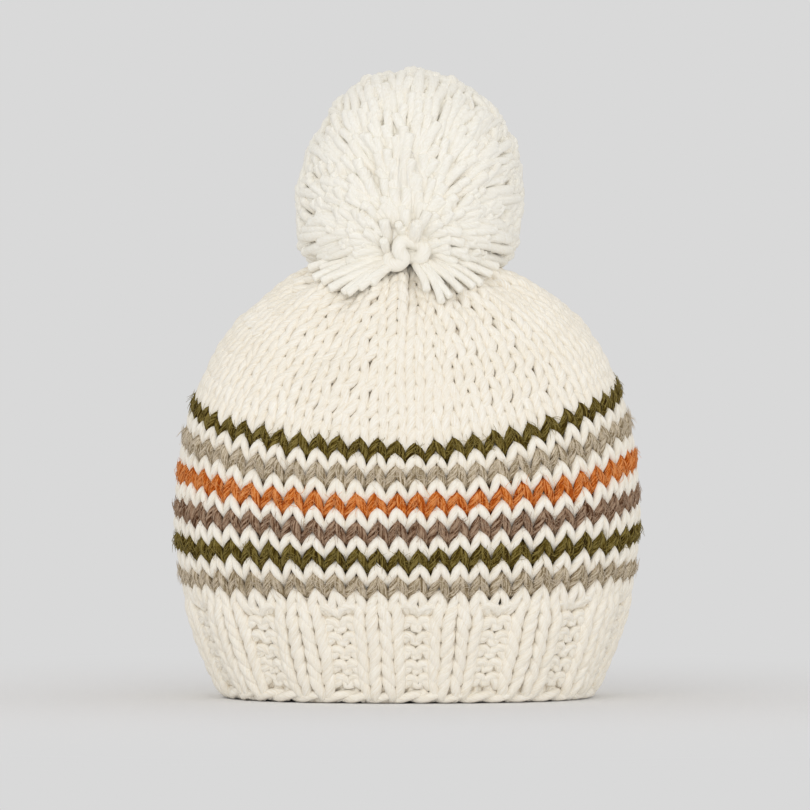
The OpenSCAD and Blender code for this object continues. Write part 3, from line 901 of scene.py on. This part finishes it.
def body_strands(pompom, rng):
    """Strands from the tie to the trimmed ball; in front they stay under the combed ones."""
    ball = on_ball(BODY_STRANDS, rng)
    front = ball[:, 1] < -FRONT_CAP
    kept = ~front | ((rng.uniform(0, 1, len(ball)) < 0.5) & (ball[:, 1] > -HIDDEN_FRONT))
    ball, front = ball[kept], front[kept]
    under = 1.0 + np.abs(rng.normal(0, 1.3, len(ball))) + np.where(front, 2.6, 0) + BENT_OUT[-1]
    bends = POM_CENTRE + (trimmed_radius(ball) - under)[:, None] * ball
    rel = bends - PIVOT
    length = norm(rel)
    keep = (length > 9) & (rel @ FACING / length > LOWEST_RISE)
    ball, bends, rel, length = ball[keep], bends[keep], rel[keep], length[keep]
    along = rel / length[:, None]
    root = PIVOT + 3.0 * FACING + 2.5 * along
    bend = rng.normal(0, 0.05, along.shape) * length[:, None]
    halfway = root + 0.5 * (bends - root) + bend + (0.07 * length)[:, None] * FACING
    t = np.array([0, 0.4, 0.8])[:, None]
    inner = (1 - t) ** 2 * root[:, None] + 2 * t * (1 - t) * halfway[:, None] + t ** 2 * bends[:, None]
    way = combed(ball, bends, rng)
    reach = rng.uniform(0.75, 1.25, (len(ball), 1, 1))
    over = BENT_OUT[:, None] * ball[:, None] + reach * BENT_ALONG[:, None] * way[:, None]
    paths = np.concatenate([inner, bends[:, None] + over], axis=1)
    # The bent ends stay inside the trimmed surface
    out = paths - POM_CENTRE
    far = norm(out)[..., None]
    limit = trimmed_radius(out / far)[..., None] - rng.uniform(0.5, 2.4, (len(ball), 1, 1))
    paths = POM_CENTRE + out * np.minimum(1, limit / far)
    paths = clear_of_crown(paths, ON_CROWN)
    sizes = np.array([0.5, 0.8, 0.95, 0.95, 1, 1, 1, 1.02, 1.04])
    for path, place in zip(paths, ball):
        size = POM_YARN * (1 + rng.normal(0, 0.08))
        out = path - POM_CENTRE
        skin = trimmed_radius(unit(out)) - norm(out)
        target = pompom.back if place[1] > 0.25 else pompom.sides
        first = 0 if above_skirt(path) < SEEN_TO_TIE else 2
        pompom.strand(target, path[first:], size * sizes[first:], rng, 7, skin[first:])


# From the root to the ends of the front strands, in mm
TIERS = [17.5, 23.5, 30, 37, 44.5, 52, 59.5, 67, 74.5, 82]
TIER_SPREAD = 3.4
STRAND_SPACING = 3.7
UNDERLAP = 0.22  # how steeply a front strand sinks under the shorter ones


def ball_front(x, z):
    """Where the front of the trimmed ball lies. It is a little flat in the middle."""
    across, up = x - POM_CENTRE[0], z - POM_CENTRE[2]
    away = np.hypot(across, up)
    bulge = np.sqrt(np.clip(POM_RADIUS ** 2 - away ** 2, 9, None))
    for _ in range(3):
        radius = trimmed_radius(unit(xyz(across, -bulge, up)))
        bulge = np.sqrt(np.clip(radius ** 2 - away ** 2, 9, None))
    return POM_CENTRE[1] - bulge + 5 * (1 - ease(away / 26))


def front_strand(pompom, rng, turn, reach, sunk, sides):
    """A strand that fans out from the knot over the front of the pompom and ends in its skin."""
    end_x = FRONT_ROOT[0] + reach * math.cos(turn)
    end_z = FRONT_ROOT[2] + reach * math.sin(turn)
    steps = 13
    t = np.linspace(0, 1, steps)
    deep_root = PIVOT + 5 * FACING
    share = min(1, reach / 80)
    root = FRONT_ROOT * (1 - share) + deep_root * share
    x = root[0] + (end_x - root[0]) * t
    z = root[2] + (end_z - root[2]) * t
    arch = 0.07 * reach * abs(math.cos(turn)) * np.sin(np.pi * t)
    wave = 0.5 * np.sin(2 * np.pi * t * reach / rng.uniform(14, 26) + rng.uniform(0, 6.3))
    side = rng.normal(0, 0.035) * reach * np.sin(np.pi * t) + wave
    x = x - side * math.sin(turn)
    z = z + arch + side * math.cos(turn)
    under = UNDERLAP * reach * (1 - t) + sunk + abs(rng.normal(0, 0.9))
    y = ball_front(x, z) + 1.6 + under
    near = ease(t * reach / 18)
    path = xyz(x, root[1] * (1 - near) + y * near, z)
    path = clear_of_crown(path[None], ON_CROWN)[0]
    size = POM_YARN * (1.0 + rng.normal(0, 0.09))
    radius = size * np.interp(t * reach, [0, 8, 20], [0.55, 0.85, 1.0])
    radius = radius * (1 + 0.05 * np.sin(9 * t + reach))
    skin = under * np.clip(2.2 * (1 - t), 0.3, 1) + 1
    pompom.strand(pompom.front, path, radius, rng, sides, skin)


def front_strands(pompom, rng):
    """Tiers of strands, the shorter over the longer, and a second layer that fills the gaps."""
    for sunk, sides, spacing in ((0.0, 9, 1.0), (2.8, 7, 1.25)):
        for reach in TIERS:
            count = int(2 * math.pi * reach / (STRAND_SPACING * spacing))
            for k in range(count):
                turn = 2 * math.pi * (k + rng.uniform(-0.4, 0.4)) / count
                length = reach + rng.normal(0, TIER_SPREAD) - sunk
                x = FRONT_ROOT[0] + length * math.cos(turn) - POM_CENTRE[0]
                z = FRONT_ROOT[2] + length * math.sin(turn) - POM_CENTRE[2]
                rim = 0.97 * trimmed_radius(unit(np.array([x, 0.0, z])))
                if math.hypot(x, z) < rim and math.sin(turn) > -0.12:
                    front_strand(pompom, rng, turn, length, sunk, sides)


# Where the strands that droop over the crown end: across and up, in mm, seen from the front
DROOPING = [
    (-43, 183), (-39.5, 179), (-36, 177), (-32, 174.5), (-28, 173), (-23.5, 172.5), (-19, 174),
    (-15.5, 177), (8, 173), (12.5, 169), (17, 171), (21.5, 173), (26, 175.5), (30, 178),
    (34, 181.5), (37, 186),
    (-36, 183), (-31, 179.5), (-26, 178), (-21, 178), (-17, 181), (-28, 184),
    (8, 179), (13.5, 176), (19, 178), (24, 181), (29, 184.5),
]


def drooping_strands(pompom, rng):
    points, normals = crown_grid()
    front = points[:, 1] < GATHER[1]
    places = points[front] + (CLOTH / 2 + POM_YARN + 0.6) * normals[front]
    for across, up in DROOPING:
        across, up = across + rng.normal(0, 0.5), up + rng.normal(0, 0.5)
        end = places[np.argmin((places[:, 0] - across) ** 2 + (places[:, 2] - up) ** 2)]
        reach = np.linalg.norm(end - FRONT_ROOT)
        t = np.linspace(0, 1, 11)[:, None]
        lift = min(3.0, 0.12 * reach) * np.sin(np.pi * t) * FACING
        curl = rng.normal(0, 0.05) * reach * np.sin(np.pi * t)
        curl = curl + 0.5 * np.sin(7 * t + rng.uniform(0, 6.3))
        side = unit(np.cross(end - FRONT_ROOT, FACING))
        path = FRONT_ROOT + (end - FRONT_ROOT) * t + lift + curl * side
        path = clear_of_crown(path[None], ON_CROWN)[0]
        size = POM_YARN * (0.88 + rng.normal(0, 0.07))
        radius = size * np.interp(t[:, 0] * reach, [0, 8, 16], [0.6, 0.9, 1.0])
        pompom.strand(pompom.front, path, radius, rng, 10, np.interp(t[:, 0], [0, 0.5, 1], [9, 4, 2]))


def make_pompom():
    rng = np.random.default_rng(21)
    pompom = Pompom()
    packed_middle(pompom.front)
    body_strands(pompom, rng)
    front_strands(pompom, rng)
    drooping_strands(pompom, rng)
    pompom.build()


# ---------------- knots, tie and yarn ends

BINDING_RADIUS = 4.6
NECK_RADIUS = 2.6
CORD_BOTTOM = -10.5
KNOT_YARN = 2.8


def trefoil(steps=72):
    """An overhand knot pulled up, with the proportions of the CAD's."""
    t = 2 * np.pi * np.arange(steps) / steps
    spread, rise = 0.72 * KNOT_YARN, 1.22 * KNOT_YARN
    across, back = np.sin(t) + 2 * np.sin(2 * t), np.cos(t) - 2 * np.cos(2 * t)
    return xyz(spread * across, spread * back, -rise * np.sin(3 * t))


# The knot in front, as pulled up: right, back and up from the middle of its hollow, in mm
PULLED_KNOT = [
    (3.4, 1.5, -2.6), (6.2, -0.6, -2.2), (7.4, -1.2, 1.0), (5.0, 0.4, 3.0),
    (1.2, -1.0, 4.4), (-2.4, -2.4, 3.8), (-3.2, -3.4, 0.4), (-1.4, -2.2, -3.0),
    (-3.4, -1.6, -5.4), (-6.8, -0.8, -5.0), (-6.4, 1.4, -1.6), (-2.4, 2.8, -1.2),
]
KNOT_YARN_RADIUS = 3.1
KNOT_MIDDLE = np.array([-0.6, -38.6, 190.2])


def make_knots():
    """The binding's knot in front, fat and pulled in, and the stopper knot inside the crown."""
    loops = np.array([PULLED_KNOT], float)
    path = KNOT_MIDDLE + smooth_loop(loops, [7] * len(PULLED_KNOT))
    yarns = Yarns("pom_knot_yarn")
    reference = unit(path - path.mean(0) + [0.0, 9.0, 0.0])
    yarns.tube(path, KNOT_YARN_RADIUS, reference, closed=True, sides=16, twist=0.3, depth=-1.0)
    finish_piece(yarns, POM_CREAM, "pompom", "pom_knot")
    path = at_gather(trefoil() + [0, 0, CORD_BOTTOM])
    yarns = Yarns("inside_knot_yarn")
    yarns.tube(path, KNOT_YARN / 2, FACING, closed=True, sides=10, twist=0.4)
    finish_piece(yarns, POM_CREAM, "hat", "inside_knot")


def make_gathering_yarn():
    """The yarn that runs through the last loops and draws them together."""
    turn = 2 * np.pi * np.arange(72) / 72
    weave = 0.3 * np.sin(9 * turn)
    across = (half_width(CLOSING_ROUND) - 1.6 + weave) * np.cos(turn)
    back = (half_depth(CLOSING_ROUND) - 1.6 + weave) * np.sin(turn)
    path = at_gather(xyz(across, back, 0.4 * np.cos(9 * turn)))
    yarns = Yarns("gathering_yarn_loop")
    # Its depth gives it some painted shade
    yarns.tube(path, 1.45, FACING, closed=True, sides=10, twist=0.5, depth=-1.0)
    finish_piece(yarns, CREAM, "hat", "gathering_yarn")


def make_tie():
    """The tie: two strands twisted into a cord that comes up through the gather, and its bend."""
    cord = Yarns("tie_cord_strands")
    height = np.linspace(CORD_BOTTOM, NECK_HEIGHT - NECK_RADIUS - 0.3, 40)
    for strand in range(2):
        turn = 0.9 * height + np.pi * strand
        path = at_gather(xyz(0.8 * np.cos(turn), 0.8 * np.sin(turn), height))
        cord.tube(path, 0.85, RIGHTWARD, twist=0.8)
    finish_piece(cord, POM_CREAM, "hat", "tie_cord")
    neck = Yarns("tie_neck_bend")
    turn = np.linspace(0, 2 * np.pi, 33)[:-1]
    for strand in range(2):
        lean = 0.5 * np.pi * strand
        across, up = 1.35 * np.cos(turn), NECK_HEIGHT + 1.35 * np.sin(turn)
        path = at_gather(xyz(across * math.cos(lean), across * math.sin(lean), up))
        reference = at_gather([-math.sin(lean), math.cos(lean), 0]) - GATHER
        neck.tube(path, 1.2, reference, closed=True, twist=0.5)
    finish_piece(neck, POM_CREAM, "tie_bend", "tie_neck")


def make_pom_binding():
    """Three turns of yarn wound round the strands over the tie."""
    turns, per_turn = 3, 40
    turn = 2 * np.pi * np.arange(turns * per_turn + 1) / per_turn
    rise = np.linspace(-0.75, 0.75, len(turn))
    ring = BINDING_RADIUS + 0.25 * np.sin(3.3 * turn)
    path = at_gather(xyz(ring * np.cos(turn), ring * np.sin(turn), NECK_HEIGHT + 1.2 + rise))
    yarns = Yarns("pom_binding_coil")
    # Lying under the strands, it takes painted shade from its depth
    yarns.tube(path, 0.9, FACING, twist=0.5, depth=-9.0)
    finish_piece(yarns, POM_CREAM, "pompom", "pom_binding")


TAILS = [
    ("grey_low", 8.5, GREY), ("olive_low", 10.5, OLIVE), ("brown", 12.5, BROWN),
    ("orange", 14.5, ORANGE), ("grey_high", 16.5, GREY), ("olive_high", 18.5, OLIVE),
]


def make_tails():
    """The stripe yarns' ends, run in up the inside of the back."""
    for i, (name, row, material) in enumerate(TAILS):
        t = np.linspace(0, 4, 60)
        column = STITCHES / 2 + 1.4 * i - 4 + 0.3 * t + 0.1 * np.sin(4.5 * t)
        path = cloth_point(column, row + 0.7 * t, -CLOTH / 2 - 1.9 + 0.35 * np.sin(9 * t))
        normal = outward(column, row + 0.7 * t)
        yarns = Yarns("yarn_end_" + name)
        yarns.tube(path, 1.2 * np.interp(t, [0, 0.2, 3.7, 4], [0.7, 1, 1, 0.6]), normal, twist=0.7)
        finish_piece(yarns, material, "hat", "woven_in_tails", slot="yarn_ends")


# ---------------- stage, light and camera


BACKDROP = srgb(217, 217, 217)
FLOOR_PAPER = (0.845, 0.845, 0.855)  # comes out like the backdrop under the flat light
FLOOR_SIZE = 12
FADE_START, FADE_END = 0.12, 0.45  # where the floor goes over into the backdrop, in m
WORLD_TINT, WORLD_STRENGTH = (1, 0.992, 0.975), 0.765


def mix_for_camera(nodes, links, lit, seen, output, fade=None):
    """The camera sees `seen`, everything else `lit`. fade says how much of it the camera sees."""
    factor = nodes.new("ShaderNodeLightPath").outputs["Is Camera Ray"]
    if fade is not None:
        product = nodes.new("ShaderNodeMath")
        product.operation = "MULTIPLY"
        links.new(factor, product.inputs[0])
        links.new(fade, product.inputs[1])
        factor = product.outputs[0]
    mix = nodes.new("ShaderNodeMixShader")
    for source, socket in zip((factor, lit.outputs[0], seen.outputs[0]), mix.inputs):
        links.new(source, socket)
    links.new(mix.outputs[0], output.inputs["Surface"])


def make_stage():
    mesh = bpy.data.meshes.new("floor")
    corners = [(x * FLOOR_SIZE, y * FLOOR_SIZE, 0) for x, y in ((-1, -1), (1, -1), (1, 1), (-1, 1))]
    mesh.from_pydata(corners, [], [(0, 1, 2, 3)])
    material = bpy.data.materials.new("floor_paper")
    nodes, links = node_tree(material)
    shader = nodes["Principled BSDF"]
    set_inputs(shader, {"Base Color": (*FLOOR_PAPER, 1), "Roughness": 1, "Specular IOR Level": 0})
    glow = nodes.new("ShaderNodeEmission")
    set_inputs(glow, {"Color": (*BACKDROP, 1), "Strength": 1})
    place = nodes.new("ShaderNodeNewGeometry")
    distance = nodes.new("ShaderNodeVectorMath")
    distance.operation = "LENGTH"
    links.new(place.outputs["Position"], distance.inputs[0])
    fade = nodes.new("ShaderNodeMapRange")
    fade.interpolation_type = "SMOOTHSTEP"
    set_inputs(fade, {"From Min": FADE_START, "From Max": FADE_END})
    links.new(distance.outputs["Value"], fade.inputs["Value"])
    mix_for_camera(nodes, links, shader, glow, nodes["Material Output"], fade.outputs["Result"])
    mesh.materials.append(material)
    link_object("floor", mesh)


def make_light():
    world = bpy.data.worlds.new("studio")
    bpy.context.scene.world = world
    nodes, links = node_tree(world)
    light = nodes["Background"]
    set_inputs(light, {"Color": (*WORLD_TINT, 1), "Strength": WORLD_STRENGTH})
    seen = nodes.new("ShaderNodeBackground")
    set_inputs(seen, {"Color": (*BACKDROP, 1), "Strength": 1})
    mix_for_camera(nodes, links, light, seen, nodes["World Output"])
    add_lamp("key", (-0.8, -2.0, 0.85), 1.6, 5.5)
    add_lamp("fill", (0.5, -2.6, 0.06), 1.5, 22.0)


def add_lamp(name, place, size, power):
    """A round soft lamp aimed at the hat: place and size in metres, power in watts."""
    light = bpy.data.lights.new(name, "AREA")
    light.shape = "DISK"
    light.size = size
    light.energy = power
    lamp = link_object(name, light)
    lamp.location = place
    aim = Vector((0, 0, 0.12)) - lamp.location
    lamp.rotation_euler = aim.to_track_quat("-Z", "Y").to_euler()


PIXEL = 0.4292 * MM  # the size of a pixel at the hat
DISTANCE = 2.5
IMAGE = 810
HAT_CENTRE_X, BRIM_Y = 408, 697  # where the hat stands in the picture, in pixels


def make_camera():
    data = bpy.data.cameras.new("camera")
    data.sensor_width = 36
    data.lens = data.sensor_width * DISTANCE / (IMAGE * PIXEL)
    camera = link_object("camera", data)
    camera.location = ((IMAGE / 2 - HAT_CENTRE_X) * PIXEL, -DISTANCE, (BRIM_Y - IMAGE / 2) * PIXEL)
    camera.rotation_euler = (math.pi / 2, 0, 0)
    bpy.context.scene.camera = camera


make_camera()
make_stage()
make_light()
make_cast_on()
make_rib()
make_stripes()
make_crown()
make_gathering_yarn()
make_tie()
make_tails()
make_pompom()
make_pom_binding()
make_knots()

bpy.context.scene.view_settings.view_transform = "Standard"
